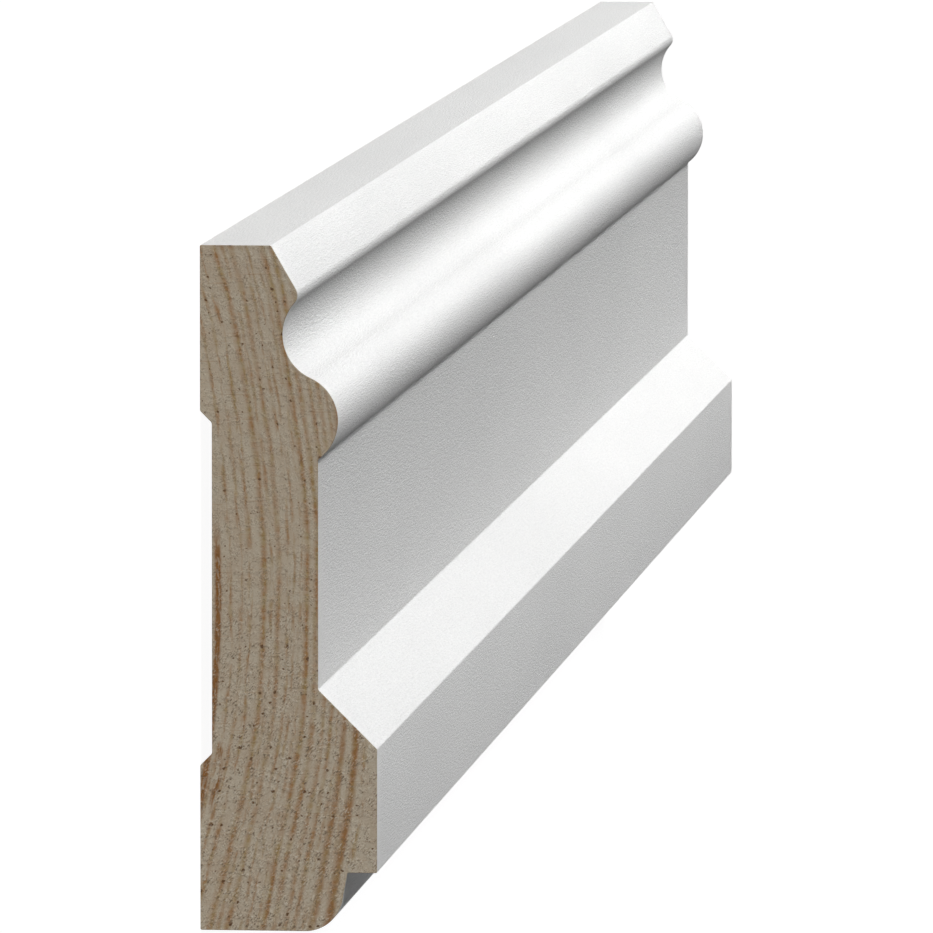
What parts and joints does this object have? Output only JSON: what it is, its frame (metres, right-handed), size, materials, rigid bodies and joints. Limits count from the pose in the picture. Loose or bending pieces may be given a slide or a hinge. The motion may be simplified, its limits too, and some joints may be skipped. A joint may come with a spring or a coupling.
{
  "type": "door casing moulding",
  "caption": "Straight length of primed pine door casing: chamfered thin edge, cove and bead ogee, flat panel, bevelled thick edge with a lip over a rounded nose, and a hollowed back.",
  "frame": {"origin": "middle of the length and of the width, on the plane of the two flat lands of the back", "axes": "+X along the length, +Y across the width towards the thin edge, +Z out of the face"},
  "size_m": [0.6096, 0.092, 0.0238],
  "materials": {
    "primed_pine": "white primer, satin, with bare sawn ends"
  },
  "bodies": {
    "root": {"door_casing": "primed_pine"}
  },
  "joints": []
}
